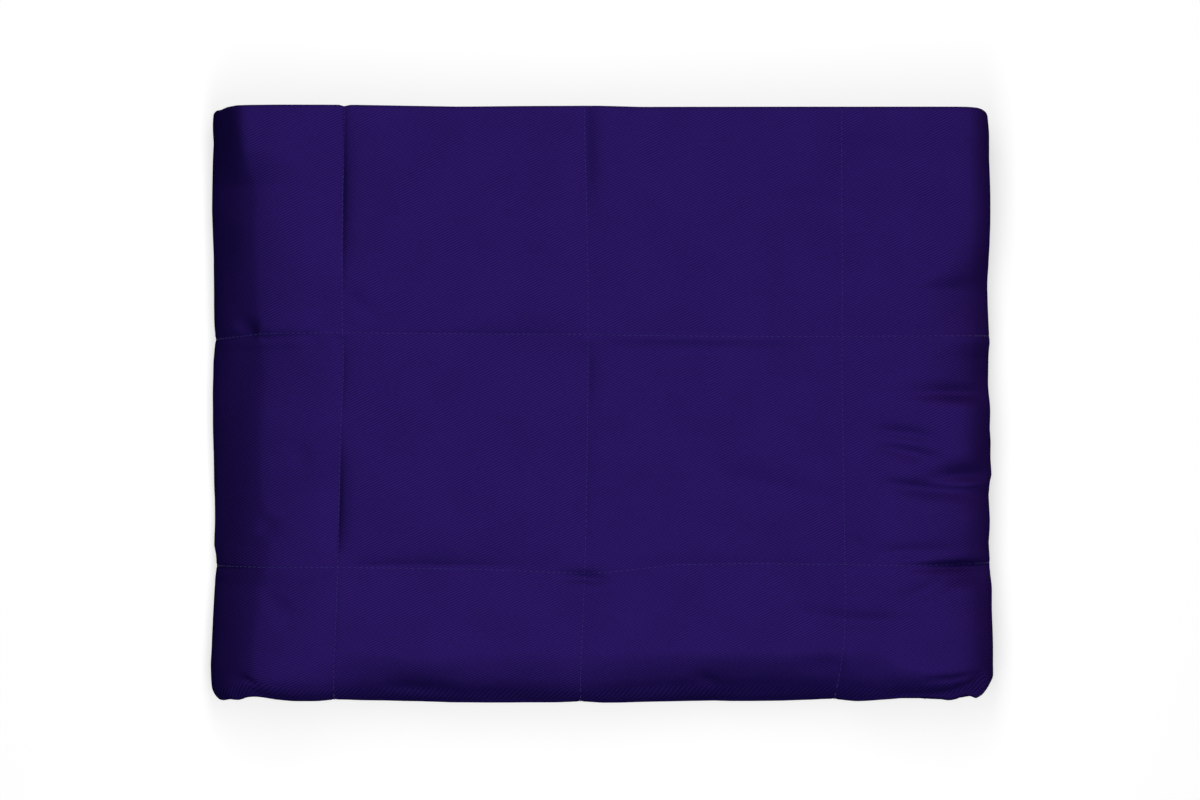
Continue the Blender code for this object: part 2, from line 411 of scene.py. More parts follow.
def sum_of_creases(x, y, creases, power=1):
    """The depths of some creases at each point, each raised to a power, and added up."""
    total = np.zeros_like(x)
    for crease in creases:
        margin = MARGIN * max(crease.left, crease.right) + abs(crease.bow)
        reach_x = abs(crease.x2 - crease.x1) / 2 + margin
        reach_y = abs(crease.y2 - crease.y1) / 2 + margin
        close = np.abs(x - (crease.x1 + crease.x2) / 2) < reach_x
        close &= np.abs(y - (crease.y1 + crease.y2) / 2) < reach_y
        total[close] += crease_depth(x[close], y[close], crease) ** power
    return total


def pressed(x, y):
    """How deep all the creases together are at each point of the top, in mm."""
    return sum_of_creases(x, y, CREASES)


def pressed_below(x, y):
    """The same for the layers below, where each trough is wider, so that the layers stay apart."""
    wide = [
        crease._replace(left=crease.left + WIDER, right=crease.right + WIDER)
        for crease in CREASES
        if crease.depth > 0
    ]
    return np.sqrt(sum_of_creases(x, y, wide, power=2))


# %% [markdown]
# ## Edges that roll over
#
# The left side is the big wrap. It is loose, so the top starts to fall away five to seven
# centimetres before it, except near the back corner, where it keeps a square shoulder. The right
# fold is tight. At the front the top layer turns under. Each table says, by the place along an
# edge, how far in the slope begins and how far the top has sunk at the edge itself. The last
# centimetre or two falls more steeply: "edge_reach" is the width of that part at the left, and
# "edge_drop" its depth at the right.

# %% Slopes towards the edges
EDGE_X, EDGE_Y = 203, 156  # mm from the middle to the folds
SHOULDER_AT, SHOULDER_WIDTH = 16, 8  # mm in from the left edge
LEFT_EDGE_DROP, RIGHT_EDGE_REACH = 12, 16  # of the last steep part, the same all along
FRONT_EDGE_REACH, FRONT_EDGE_DROP = 11, 4
# How round each slope is: 1 is straight, and a larger power sinks late and then fast.
LEFT_POWER, RIGHT_POWER, FRONT_POWER = 1.6, 2.0, 1.5
LEFT_EDGE_POWER, RIGHT_EDGE_POWER, FRONT_EDGE_POWER = 1.3, 1.4, 1.3

ROLL_LEFT = {
    "y": (-156, -142, -130, -118, -104, -95, -88, -84, -74, -55, -38, -20, 0, 14, 28, 34, 40, 52,
          72, 92, 104, 114, 123, 132, 140, 156),
    "reach": (52, 54, 56, 56, 60, 64, 60, 58, 62, 66, 70, 70, 68, 70, 66, 58, 52, 54, 52, 48, 50,
              56, 48, 38, 36, 38),
    "drop": (20, 22, 24, 25, 27, 30, 28, 28, 34, 34, 31, 30, 29, 31, 31, 28, 27, 26, 24, 23, 22, 22,
             18, 14, 12, 11),
    "shoulder": (0, 0, 0, 0, 0, 0, 0, 0, 0, 0, 0, 0, 0, 0, 0, 0, 0, 0, 0, 0.5, 0, 0, 1.5, 3, 4, 4),
    "edge_reach": (22, 23, 23, 24, 26, 27, 28, 30, 32, 28, 26, 26, 27, 28, 28, 26, 25, 25, 24, 24,
                   25, 24, 20, 18, 17, 17),
}
ROLL_RIGHT = {
    "y": (-156, -140, -121, -108, -97, -87, -80, -76, -61, -49, -42, -34, -24, -14, -3, 4, 14, 24,
          33, 36, 40, 48, 60, 67, 75, 84, 96, 156),
    "reach": (28, 30, 30, 34, 32, 36, 38, 38, 34, 32, 30, 28, 24, 28, 32, 36, 44, 44, 38, 38, 42,
              48, 46, 30, 23, 21, 20, 20),
    "drop": (18, 19, 18, 20, 19, 23, 26, 26, 19, 25, 21, 19, 18, 16, 14, 19, 30, 32, 21, 21, 25, 29,
             32, 30, 24, 16, 13, 12),
    "edge_drop": (6, 8, 8, 9, 9, 7, 6, 7, 9, 7, 8, 9, 9, 8, 8, 8, 7, 7, 5, 5, 5, 5, 4, 2, 2, 1, 0,
                  0),
}
ROLL_FRONT = {
    "x": (-204, -180, -165, -148, -134, -126, -112, -100, -86, -74, -60, -14, -4, 12, 30, 45, 60,
          118, 134, 146, 156, 172, 184, 204),
    "reach": (14, 18, 20, 23, 27, 27, 26, 24, 23, 24, 26, 26, 26, 26, 26, 26, 26, 26, 27, 26, 17,
              13, 16, 18),
    "drop": (5, 7, 9, 12, 18, 20, 23, 23, 21, 18, 17, 16, 17, 21, 24, 26, 28, 28, 20, 14, 11, 10,
             12, 12),
}


def slope(distance, reach, drop, power):
    """Sinks from nothing at reach to drop at the edge."""
    return drop * np.clip(1 - distance / reach, 0, 1) ** power


def looked_up(table, key, at):
    """The other columns of a table, at places along its edge."""
    return [np.interp(at, table[key], values) for name, values in table.items() if name != key]


def sunk(x, y):
    """How far the top has sunk below the middle of the blanket, in mm."""
    from_left, from_right, from_front = x + EDGE_X, EDGE_X - x, y + EDGE_Y
    reach, drop, shoulder, edge_reach = looked_up(ROLL_LEFT, "y", y)
    left = slope(from_left, reach, drop, LEFT_POWER)
    left += slope(from_left, edge_reach, LEFT_EDGE_DROP, LEFT_EDGE_POWER)
    square = shoulder * np.exp(-(((from_left - SHOULDER_AT) / SHOULDER_WIDTH) ** 2))
    reach, drop, edge_drop = looked_up(ROLL_RIGHT, "y", y)
    right = slope(from_right, reach, drop, RIGHT_POWER)
    right += slope(from_right, RIGHT_EDGE_REACH, edge_drop, RIGHT_EDGE_POWER)
    front = slope(from_front, *looked_up(ROLL_FRONT, "x", x), FRONT_POWER)
    front += slope(from_front, FRONT_EDGE_REACH, FRONT_EDGE_DROP, FRONT_EDGE_POWER)
    return np.sqrt(left**2 + right**2 + front**2) - square


# %% [markdown]
# ## The face of the quilt
#
# A cell is full in its middle and thin at its seams. Close to the thread the cloth is pulled in
# sharply, and between the stitches it puckers. Beads settle unevenly, so there is a slow swell in
# each cell as well. All of this is in the mesh and not in a bump map, so it holds from every side.

# %% Thickness, puckers and swell
SEAM = 5.2 * MM  # thickness at a seam, where the stitches pull the panels together
HEM = 0.8 * MM  # at the very edge of the turned hem
HEM_ROUND = 2.2 * MM  # the hem rounds off over this distance
TIGHT, LOOSE = 1.1 * MM, 13.0 * MM  # the sharp and the soft part of the hollow at a seam
TIGHT_SHARE = 0.4  # how much of the hollow is the sharp part
CROWN, CROWN_POWER = 0.9 * MM, 0.7  # rise of a cell's middle, and how round it is
PUCKER, PUCKER_WAVE, PUCKER_REACH = 0.10 * MM, 6.5 * MM, 5.0 * MM
PUCKER_DRIFT, PUCKER_DRIFT_WAVE = 2.2, 19 * MM  # how unevenly the puckers follow one another
PUCKER_LEAN = 9  # radians that they lean over as they run out
PUCKER_SHIFT = 1.7  # so that puckers along the rows don't match those along the columns
SWELL = ((60 * MM, 0.60 * MM), (22 * MM, 0.22 * MM), (9 * MM, 0.07 * MM))  # size and height
SWELL_APART = 7.3  # from one swell to the next in the noise, so that they differ


def nearest_line(at, lines):
    """Distance to the nearest of some lines."""
    return np.min([np.abs(at - line) for line in lines], axis=0)


def seam_distances(column, row):
    """Distances to the nearest column seam and to the nearest row seam, leaving out the hems."""
    return nearest_line(column, column_seams[1:-1]), nearest_line(row, row_seams[1:-1])


def hem_distance(column, row):
    """Distance to the nearest hem."""
    to_side, to_end = nearest_line(column, (0.0, FLAT_WIDTH)), nearest_line(row, (0.0, FLAT_LENGTH))
    return np.minimum(to_side, to_end)


def fullness(distance):
    """0 on a seam, 1 inside a cell."""
    share = np.clip(distance / LOOSE, 0, 1)
    tight, loose = 1 - np.exp(-distance / TIGHT), share * share * (3 - 2 * share)
    return TIGHT_SHARE * tight + (1 - TIGHT_SHARE) * loose


def thickness(column, row):
    """Of the quilt at each point of the flat cloth."""
    to_column, to_row = seam_distances(column, row)
    inside = fullness(to_column) * fullness(to_row)
    to_hem = hem_distance(column, row)
    rounded = np.sqrt(np.clip(1 - (1 - np.clip(to_hem / HEM_ROUND, 0, 1)) ** 2, 0, 1))
    near_hem = np.clip(to_hem / LOOSE, 0, 1)
    full = SEAM + (LAYER - SEAM) * inside * near_hem * (2 - near_hem)
    return HEM + (full - HEM) * rounded


def dome(at, seams):
    """0 at the seams of a cell, 1 in its middle."""
    index = np.clip(np.searchsorted(seams, at) - 1, 0, len(seams) - 2)
    lines = np.array(seams)
    share = (at - lines[index]) / (lines[index + 1] - lines[index])
    return np.sin(math.pi * np.clip(share, 0, 1)) ** CROWN_POWER


def noise_at(x, y, z):
    """Smooth noise from -1 to 1, the same at every run, at points in units of its own size."""
    return np.array([noise.noise(Vector(at)) for at in zip(*np.broadcast_arrays(x, y, z))])


def swell(column, row):
    """A slow random rise and fall."""
    total = np.zeros_like(column)
    for number, (size, height) in enumerate(SWELL):
        total += height * noise_at(column / size, row / size, SWELL_APART * number)
    return total


def puckers(column, row):
    """Little waves that run out from the seams, between the stitches."""
    to_column, to_row = seam_distances(column, row)
    waves = np.zeros_like(column)
    for distance, run, shift in ((to_column, row, 0.0), (to_row, column, PUCKER_SHIFT)):
        drift = PUCKER_DRIFT * np.sin(run / PUCKER_DRIFT_WAVE + shift)
        phase = 2 * math.pi * run / PUCKER_WAVE + drift
        strength = np.exp(-((distance / PUCKER_REACH) ** 2))
        waves += strength * np.sin(phase + PUCKER_LEAN * distance / PUCKER_REACH)
    return PUCKER * waves


# %% [markdown]
# ## Sides that nobody smoothed
#
# The layers in a stack never line up. Their hems run in and out by a few millimetres, the stack
# sags between the folds, and the big wrap at the left has buckles of its own. These rows are
# creases as before, but their x is measured along the cloth: past -170 it goes down round the left
# wrap, past 191 round the right fold.

# %% Creases in the sides, and uneven layers
SIDE_CREASES = (
    Crease(-228, 128, -233, 62, 3.0, 1.3, 5, 8, 0.5),
    Crease(-244, 22, -238, -42, -4.0, 1.5, 7, 5, 0.4),
    Crease(-216, -14, -224, -74, 3.0, 0.8, 6, 8, 0.6),
    Crease(-238, -98, -231, -148, 2.0, 1.4, 6, 7, 0.5),
    Crease(-258, 140, -262, 88, -2.0, 1.2, 6, 6, 0.6),
    Crease(-226, 31, -247, 10, -1.0, 0.9, 4, 6, 0.4),
    Crease(-224, -91, -246, -112, 1.0, 1.0, 4, 6, 0.4),
    Crease(-230, 40, -250, 60, 1.0, 0.8, 5, 5, 0.4),
    Crease(206, -40, 240, -46, 1.0, 1.2, 3, 4, 0.3),
    Crease(212, 112, 220, 58, 2.0, 0.9, 5, 6, 0.5),
    Crease(216, -98, 222, -146, 2.0, 1.0, 5, 6, 0.5),
)
HEM_SHIFT, HEM_WAVE = 3.0 * MM, 55 * MM  # how far the hidden hems run in and out, and how often
FLAP_NOISE, FAR_NOISE = 4.4, 8.8  # two places in the noise, so that the two hems differ
STACK = 2 * STRIP + 2 * PITCH + LAYER  # height of all nine layers
STACK_SAG, SAG_WAVE, SAG_LAYERS = 1.6 * MM, 75 * MM, 26 * MM
SLIDE, SLIDE_WAVE, SLIDE_LAYERS = 1.5 * MM, 60 * MM, 9 * MM
SLIDE_NOISE = 20  # a place in the noise well away from the sag's
SLIDE_BIAS = 0.5  # so that in most places a layer lies further in, not out
TOP_KEPT, FLAP_TOP = 0.5, 1.3  # in strips: what keeps its place on top, and where the flap ends
# In mm, where the layers begin to slide, and the stretch that it grows over.
SLIDING_END, SLIDING_FLAP = (120, 30), (165, 30)


def ragged(column, row):
    """Moves the far hem and the flap's hem in and out, more the nearer a point is to them."""
    far = rising(row, lower_layer.begin, lower_layer.length) ** 2
    flap = np.clip(1 - column / outer_flap.end, 0, 1) ** 2
    return (
        column - flap * HEM_SHIFT * noise_at(FLAP_NOISE, row / HEM_WAVE, 0.0),
        row - far * HEM_SHIFT * noise_at(column / HEM_WAVE, FAR_NOISE, 0.0),
    )


def uneven_layers(x, y, z):
    """Lets the layers below the top sag and slide a little, each in its own way."""
    inside = np.sin(math.pi * np.clip(z / STACK, 0, 1))
    below = np.clip((STACK - z) / STRIP - TOP_KEPT, 0, 1)
    near_end = rising(np.abs(y) / MM, *SLIDING_END) * np.sign(y)
    flap = rising(x / MM, *SLIDING_FLAP) * np.clip(FLAP_TOP - z / STRIP, 0, 1)
    sag = noise_at(x / SAG_WAVE, y / SAG_WAVE, z / SAG_LAYERS)
    slide = noise_at(x / SLIDE_WAVE, y / SLIDE_WAVE, z / SLIDE_LAYERS + SLIDE_NOISE)
    inwards = SLIDE * (slide - SLIDE_BIAS)
    return x + flap * inwards, y + near_end * below * inwards, z + STACK_SAG * inside * sag


# %% [markdown]
# ## Folding
#
# One function takes points of the flat quilt to their places in the folded blanket. The cloth, and
# later the thread, both go through it, so the stitches stay in the cloth whatever the creases do.

# %% From flat to folded
FADE_IN = 25 * MM  # from a hem to where the layers below take wider creases
PRESS_POWER = 1.3  # how fast a crease fades out in the layers below
SIDE_SHOWN, FRONT_SHOWN = 0.3, 0.4  # how far round a turn its face still shows in full
LEFT_RADIUS = STRIP + PITCH + LAYER / 2  # of the outside of the left wrap
RIGHT_ROUND = 56 * MM  # cloth round the outside of the right fold
ONTO_THE_TOP = 40 * MM  # how far the creases of the left side may run on to the top


def on_show(column, row):
    """1 on the part that lies outside, on top and round the sides, fading where it goes under."""
    left = left_wrap.begin + SIDE_SHOWN * left_wrap.length
    right = right_fold.end - SIDE_SHOWN * right_fold.length
    front = front_fold.begin + FRONT_SHOWN * front_fold.length
    across = np.interp(column, (left_wrap.begin, left, right, right_fold.end), (0, 1, 1, 0))
    return across * np.interp(row, (front, front_fold.end), (1, 0))


def along_side(column):
    """Place across in mm, going on along the cloth itself round the wrap and the right fold."""
    round_left = np.clip((left_wrap.end - column) / left_wrap.length, 0, 1) * math.pi * LEFT_RADIUS
    round_right = rising(column, right_fold.begin, right_fold.length) * RIGHT_ROUND
    middle = ACROSS[1].start + np.clip(column - top_strip.begin, 0, top_strip.length)
    return (middle - round_left + round_right) / MM


def folded(column, row, side, lift):
    """Places of points of the flat quilt. Side is 1 on its face and -1 on its back."""
    offset = side * (thickness(column, row) / 2 + lift)
    shown = on_show(column, row) * (side > 0)
    moved_column, moved_row = ragged(column, row)

    # Where each point would lie in a tidy fold, to look up the creases there.
    x, y, z = carried(moved_column, moved_row, offset)
    x, y = wander(x, y)
    relief = (side > 0) * (puckers(column, row) + swell(column, row))
    top = (shown > 0) & (z > STRIP)
    relief[top] += CROWN * dome(column[top], column_seams) * dome(row[top], row_seams)
    past_left, past_right = column < top_strip.begin + ONTO_THE_TOP, column > top_strip.end
    sides = (shown > 0) & (past_left | past_right)
    for crease in SIDE_CREASES:
        relief[sides] -= crease_depth(along_side(column[sides]), y[sides] / MM, crease) * MM

    # The same again with the relief. Layers further down give way less and less.
    x, y, z = carried(moved_column, moved_row, offset + shown * relief)
    x, y = wander(x, y)
    share = np.clip(z / STACK, 0, None)
    below = (1 - shown) * np.clip(hem_distance(column, row) / FADE_IN, 0, 1)
    creased = (1 - below) * pressed(x / MM, y / MM) + below * pressed_below(x / MM, y / MM)
    z = z - sunk(x / MM, y / MM) * MM * share - creased * MM * share**PRESS_POWER
    x, y, z = uneven_layers(x, y, z)
    x, y = outline(x, y, z)
    return np.stack((x, y, z), axis=1)


# %% [markdown]
# ## The flat grid
#
# The grid is close where the cloth bends and wide where it lies flat and hidden. Blender makes an
# even grid, so each of its lines is then moved to its own distance along the cloth. Extruding the
# whole sheet gives the back panel and the hem at once, so the quilt is closed from the start. The
# faces that show are cut finer before anything is folded.

# %% Grid lines
HIDDEN_STEP, HIDDEN_ROWS = 16 * MM, 9 * MM
WRAP_STEP, RIGHT_STEP, TURN_STEP = 4.2 * MM, 2 * MM, 1.7 * MM
TOP_ACROSS, TOP_ALONG = 9.4 * MM, 6.0 * MM
TOO_CLOSE = 0.2 * MM  # lines nearer than this to each other become one
BY_SHOWN, BY_HIDDEN, BY_TURN = 3 * MM, 5 * MM, 4 * MM  # extra lines beside seams, and before turns
BY_HEM = (0.35 * MM, 0.9 * MM, HEM_ROUND, LOOSE)


def grid_lines(seams, steps, extra):
    """Lines along the cloth: at every seam and hem, and in between as far apart as steps says."""
    fixed = sorted(set(seams) | set(extra) | {end for span, _ in steps for end in span})
    lines = [fixed[0]]
    for a, b in zip(fixed, fixed[1:]):
        if b - a < TOO_CLOSE:
            continue
        step = min(size for (low, high), size in steps if low <= (a + b) / 2 <= high)
        lines += list(np.linspace(a, b, max(1, round((b - a) / step)) + 1)[1:])
    return lines


def beside(lines, distance):
    """A line on each side of every one of some lines."""
    return [line + sign * distance for line in lines for sign in (-1, 1)]


def hem_lines(length):
    """Lines close to both hems, where the edge is rounded."""
    return [at for h in BY_HEM for at in (h, length - h)]


column_lines = grid_lines(
    column_seams,
    [(outer_flap, HIDDEN_STEP), (left_wrap, WRAP_STEP), (top_strip, TOP_ACROSS),
     (right_fold, RIGHT_STEP), (inner_flap, 2 * HIDDEN_STEP)],
    hem_lines(FLAT_WIDTH) + beside(shown_columns, BY_SHOWN) + beside(hidden_left, BY_HIDDEN),
)
row_lines = grid_lines(
    row_seams,
    [(top_layer, TOP_ALONG), (front_fold, TURN_STEP), (middle_layer, HIDDEN_ROWS),
     (back_fold, TURN_STEP), (lower_layer, HIDDEN_ROWS)],
    hem_lines(FLAT_LENGTH) + beside(shown_rows, BY_SHOWN) + beside(hidden_rows, BY_HIDDEN)
    + [middle_layer.begin + BY_TURN, middle_layer.end - BY_TURN, lower_layer.begin + BY_TURN],
)
print(f"grid of {len(column_lines)} by {len(row_lines)} lines")

# %% Helpers for meshes
def in_the_scene(name, data):
    """Makes an object of some data, at the origin."""
    made = bpy.data.objects.new(name, data)
    bpy.context.scene.collection.objects.link(made)
    return made


def finished(bm, name):
    """Makes a smooth object of a bmesh, and says how many triangles it has."""
    mesh = bpy.data.meshes.new(name)
    bm.to_mesh(mesh)
    bm.free()
    mesh.shade_smooth()
    mesh.calc_loop_triangles()
    print(f"{name}: {len(mesh.loop_triangles)} triangles")
    return in_the_scene(name, mesh)


def move_to(bm, places):
    """Moves each vertex to its own place, and turns all faces outwards."""
    for v, at in zip(bm.verts, places):
        v.co = at
    bm.normal_update()  # or the next line would judge by how the faces lay before the move
    bmesh.ops.recalc_face_normals(bm, faces=bm.faces[:])


# %% The quilt, flat and then folded
FINE_LEFT, FINE_RIGHT, FINE_FRONT = 5 * MM, 4 * MM, 3 * MM  # from a turn to the finer faces
FINE_CUTS = 3

# In the flat grid z only says which panel a point is on: 0 for the back, 1 for the face.
bm = bmesh.new()
across_last, along_last = len(column_lines) - 1, len(row_lines) - 1
bmesh.ops.create_grid(bm, x_segments=across_last, y_segments=along_last, size=0.5)
for v in bm.verts:
    v.co.x = column_lines[round((v.co.x + 0.5) * across_last)]
    v.co.y = row_lines[round((v.co.y + 0.5) * along_last)]
made = bmesh.ops.extrude_face_region(bm, geom=bm.faces[:])
for item in made["geom"]:
    if isinstance(item, bmesh.types.BMVert):
        item.co.z = 1.0


def shows(face):
    """True for faces of the face panel that lie outside, on top or round a side."""
    middle = face.calc_center_median()
    across = outer_flap.end + FINE_LEFT < middle.x < inner_flap.begin - FINE_RIGHT
    return middle.z > 0.5 and across and middle.y < middle_layer.begin - FINE_FRONT


finer = {edge for face in bm.faces if shows(face) for edge in face.edges}
bmesh.ops.subdivide_edges(bm, edges=list(finer), cuts=FINE_CUTS, use_grid_fill=True)
flat = np.array([v.co for v in bm.verts])
print(f"{len(bm.verts)} vertices")

# The UV map is in metres of cloth. The outer layers of a wrap go the longer way round, so they
# get more.
_, inside = place(ALONG, flat[:, 1], np.zeros(len(flat)))
left = rising(flat[:, 0], left_wrap.begin, left_wrap.length)
right = rising(flat[:, 0], right_fold.begin, right_fold.length)
across = flat[:, 0] + math.pi * (inside - PITCH) * (left + right - 1)
cloth_uv = bm.loops.layers.uv.new("cloth")
bm.verts.index_update()
for face in bm.faces:
    for loop in face.loops:
        loop[cloth_uv].uv = across[loop.vert.index], loop.vert.co.y

side = np.where(flat[:, 2] > 0.5, 1.0, -1.0)
places = folded(flat[:, 0], flat[:, 1], side, 0.0)
lowest = places[:, 2].min()
places[:, 2] -= lowest
move_to(bm, places)
quilt = finished(bm, "quilt")

# %% [markdown]
# ## Stitches
#
# The seams are a lock stitch in a polyester thread a shade lighter than the cloth. Each stitch is a
# small rounded bar that lies a little sunk in the cloth. They could be copies along a curve, but
# laid out flat as one joined mesh, along every seam that shows, they go through the same folding
# function as the quilt and stay on it everywhere.

# %% Stitches along the seams
STITCH_PITCH, STITCH_LENGTH, THREAD = 2.9 * MM, 2.2 * MM, 0.50 * MM
THREAD_SUNK = 0.08 * MM
LENGTHS, TURNED = (0.93, 1.05), 0.07  # how stitches differ in length, and in angle in radians
FROM_HEM = 3 * MM  # to the first and the last stitch
random.seed(11)

OUTSIDE = PITCH + LAYER / 2  # from the middle of a strip to its outside
COLUMN_TURNS = ((*left_wrap, 1 + OUTSIDE / STRIP), (*right_fold, 1 + 2 * OUTSIDE / STRIP))
ROW_TURNS = ((*front_fold, 1 + LAYER / PITCH), (*back_fold, 1 + LAYER / PITCH))

bm = bmesh.new()
lying = Matrix.Rotation(math.pi / 2, 4, "Y")
bmesh.ops.create_uvsphere(bm, u_segments=6, v_segments=6, radius=0.5, matrix=lying)
one_stitch = bpy.data.meshes.new("one stitch")
bm.to_mesh(one_stitch)
bm.clear()
stitch_sides = []


def stretch(at, turns):
    """How much longer than the flat plan the outside of a fold is, at a place along the seam."""
    return next((longer for begin, finish, longer in turns if begin < at < finish), 1.0)


def sew(fixed, low, high, along_row, side=1):
    """Lays stitches along one seam, from low to high, on the face or the back of the quilt."""
    turns = ROW_TURNS if along_row else COLUMN_TURNS
    at = low
    while at < high:
        longer = stretch(at, turns)
        length = STITCH_LENGTH / longer * random.uniform(*LENGTHS)
        centre = (fixed, at, 0.0) if along_row else (at, fixed, 0.0)
        turn = random.uniform(-TURNED, TURNED) + (math.pi / 2 if along_row else 0)
        copy = one_stitch.copy()
        copy.transform(Matrix.Diagonal((length, THREAD, THREAD, 1)))
        copy.transform(Matrix.Translation(centre) @ Matrix.Rotation(turn, 4, "Z"))
        bm.from_mesh(copy)
        bpy.data.meshes.remove(copy)
        stitch_sides.extend([side] * len(one_stitch.vertices))
        at += STITCH_PITCH / longer


for seam in shown_columns:
    sew(seam, FROM_HEM, middle_layer.begin, True)
for seam in hidden_left + hidden_right:
    sew(seam, top_layer.end, middle_layer.begin, True)
for seam in column_seams[1:-1]:
    sew(seam, middle_layer.end, lower_layer.begin, True, side=-1)
for seam in shown_rows:
    sew(seam, outer_flap.end, inner_flap.begin - FROM_HEM, False)
flat = np.array([v.co for v in bm.verts])
lift = flat[:, 2] + THREAD / 2 - THREAD_SUNK
move_to(bm, folded(flat[:, 0], flat[:, 1], np.array(stitch_sides, float), lift))
bmesh.ops.translate(bm, verts=bm.verts[:], vec=(0, 0, -lowest))
stitches = finished(bm, "stitches")

# %% [markdown]
# ## Twill
#
# Cotton twill that is woven first and dyed afterwards has fine ribs that climb to the right, a dry
# matt surface with no gloss to speak of, and a deep violet that is a little uneven from yarn to
# yarn and from patch to patch. Two wave textures cross for the ribs and the yarns, and noise adds
# slubs and patches. The colour follows the height of this weave. Its hollows are darker, which is
# painted shade, and its ribs are lighter, which is painted highlight. The patches are the dye's
# own unevenness. The ribs are drawn about twice as coarse as real ones, or they would not show
# at this distance. The thread is polyester, twisted and a shade lighter, so a seam reads as a fine
# dotted line.

# %% Helpers for materials
def linear(hex_colour):
    """A written sRGB colour as the linear values that a shader takes."""
    parts = [int(hex_colour[i : i + 2], 16) / 255 for i in (0, 2, 4)]
    return [c / 12.92 if c <= 0.04045 else ((c + 0.055) / 1.055) ** 2.4 for c in parts] + [1.0]


def add(tree, kind, settings=None, **links):
    """Adds a node. Settings are properties, or sockets by name or number; links feed sockets."""
    node = tree.nodes.new("ShaderNode" + kind)
    for key, value in (settings or {}).items():
        if isinstance(key, int) or key in node.inputs:
            node.inputs[key].default_value = value
        else:
            setattr(node, key, value)
    for key, source in links.items():
        socket = node.inputs[int(key[1:])] if key[0] == "_" else node.inputs[key]
        tree.links.new(source, socket)
    return node


def new_material(name, **sockets):
    """A Principled material with its constant settings on the shader's own sockets."""
    material = bpy.data.materials.new(name)
    material.use_nodes = True
    shader = material.node_tree.nodes["Principled BSDF"]
    for key, value in sockets.items():
        shader.inputs[key.replace("_", " ")].default_value = value
    return material, material.node_tree, shader


# %% Violet cotton twill
RIB = 1.25 * MM  # from one rib to the next, square to them
RIB_ANGLE = math.radians(28)
YARN = 0.95 * MM
WAVE = math.pi / 10  # a wave texture of scale 1 repeats after this
SLUBS, PATCHES = 420.0, 38.0  # noise scales: a slub is about 2 mm long, a patch 25 mm
YARNS_IN, SLUBS_IN, PATCHES_IN = 0.35, 0.5, 0.5  # how much of each is added to the ribs
TO_ONE = 0.51  # brings their sum back to about 0 to 1
WEAVE_STRENGTH, WEAVE_DEPTH = 0.7, 0.22 * MM
# Colours in shade, in the middle and in light of the weave, and where on the ramp each stands.
CLOTH_DARK, CLOTH, CLOTH_LIGHT = "1D0F44", "251352", "2C1861"
DARK_AT, MIDDLE_AT, LIGHT_AT = 0.25, 0.55, 0.85

twill, tree, shader = new_material(
    "violet cotton twill", Roughness=0.85, Metallic=0.0, Specular_IOR_Level=0.0)
cloth = add(tree, "UVMap", {"uv_map": "cloth"}).outputs["UV"]
turned = add(tree, "Mapping", {"Rotation": (0, 0, RIB_ANGLE)}, Vector=cloth).outputs["Vector"]
ribs = add(tree, "TexWave", {"wave_type": "BANDS", "bands_direction": "Y", "Scale": WAVE / RIB,
                             "Distortion": 0.6, "Detail": 2.0, "Detail Scale": 1.5}, Vector=turned)
yarns = add(tree, "TexWave", {"wave_type": "BANDS", "bands_direction": "X", "Scale": WAVE / YARN,
                              "Distortion": 0.8, "Detail": 1.0}, Vector=turned)
slubs = add(tree, "TexNoise", {"Scale": SLUBS, "Detail": 3.0, "Roughness": 0.6}, Vector=cloth)
patches = add(tree, "TexNoise", {"Scale": PATCHES, "Detail": 3.0, "Roughness": 0.55}, Vector=cloth)
weave = add(tree, "Math", {"operation": "MULTIPLY_ADD", 1: YARNS_IN},
            _0=yarns.outputs["Fac"], _2=ribs.outputs["Fac"])
height = add(tree, "Math", {"operation": "MULTIPLY_ADD", 1: SLUBS_IN},
             _0=slubs.outputs["Fac"], _2=weave.outputs[0])
bump = add(tree, "Bump", {"Strength": WEAVE_STRENGTH, "Distance": WEAVE_DEPTH},
           Height=height.outputs[0])
tone = add(tree, "Math", {"operation": "MULTIPLY_ADD", 1: PATCHES_IN},
           _0=patches.outputs["Fac"], _2=height.outputs[0])
shade = add(tree, "Math", {"operation": "MULTIPLY", 1: TO_ONE}, _0=tone.outputs[0])
# Painted shade in the weave's hollows and painted highlight on its ribs, with patches of uneven
# dye.
colour = add(tree, "ValToRGB", Fac=shade.outputs[0])
ramp = colour.color_ramp
ramp.elements[0].position, ramp.elements[0].color = DARK_AT, linear(CLOTH_DARK)
ramp.elements[1].position, ramp.elements[1].color = LIGHT_AT, linear(CLOTH_LIGHT)
ramp.elements.new(MIDDLE_AT).color = linear(CLOTH)
tree.links.new(colour.outputs["Color"], shader.inputs["Base Color"])
tree.links.new(bump.outputs["Normal"], shader.inputs["Normal"])
quilt.data.materials.append(twill)
quilt.cycles.shadow_terminator_geometry_offset = 0.6  # no facets where light grazes the folds
print("twill:", len(twill.node_tree.nodes), "nodes")

# %% Polyester thread
THREAD_COLOUR = "2F2066"
TWIST, TWIST_STRENGTH, TWIST_DEPTH = 2500.0, 0.3, 0.05 * MM  # noise of about 0.4 mm, and its bump

thread, tree, shader = new_material(
    "violet polyester thread", Base_Color=linear(THREAD_COLOUR), Roughness=0.6, Metallic=0.0,
    Specular_IOR_Level=0.1)
twist = add(tree, "TexNoise", {"Scale": TWIST, "Detail": 1.0},
            Vector=add(tree, "TexCoord").outputs["Object"])
bump = add(tree, "Bump", {"Strength": TWIST_STRENGTH, "Distance": TWIST_DEPTH},
           Height=twist.outputs["Fac"])
tree.links.new(bump.outputs["Normal"], shader.inputs["Normal"])
stitches.data.materials.append(thread)
print("thread:", len(thread.node_tree.nodes), "nodes")

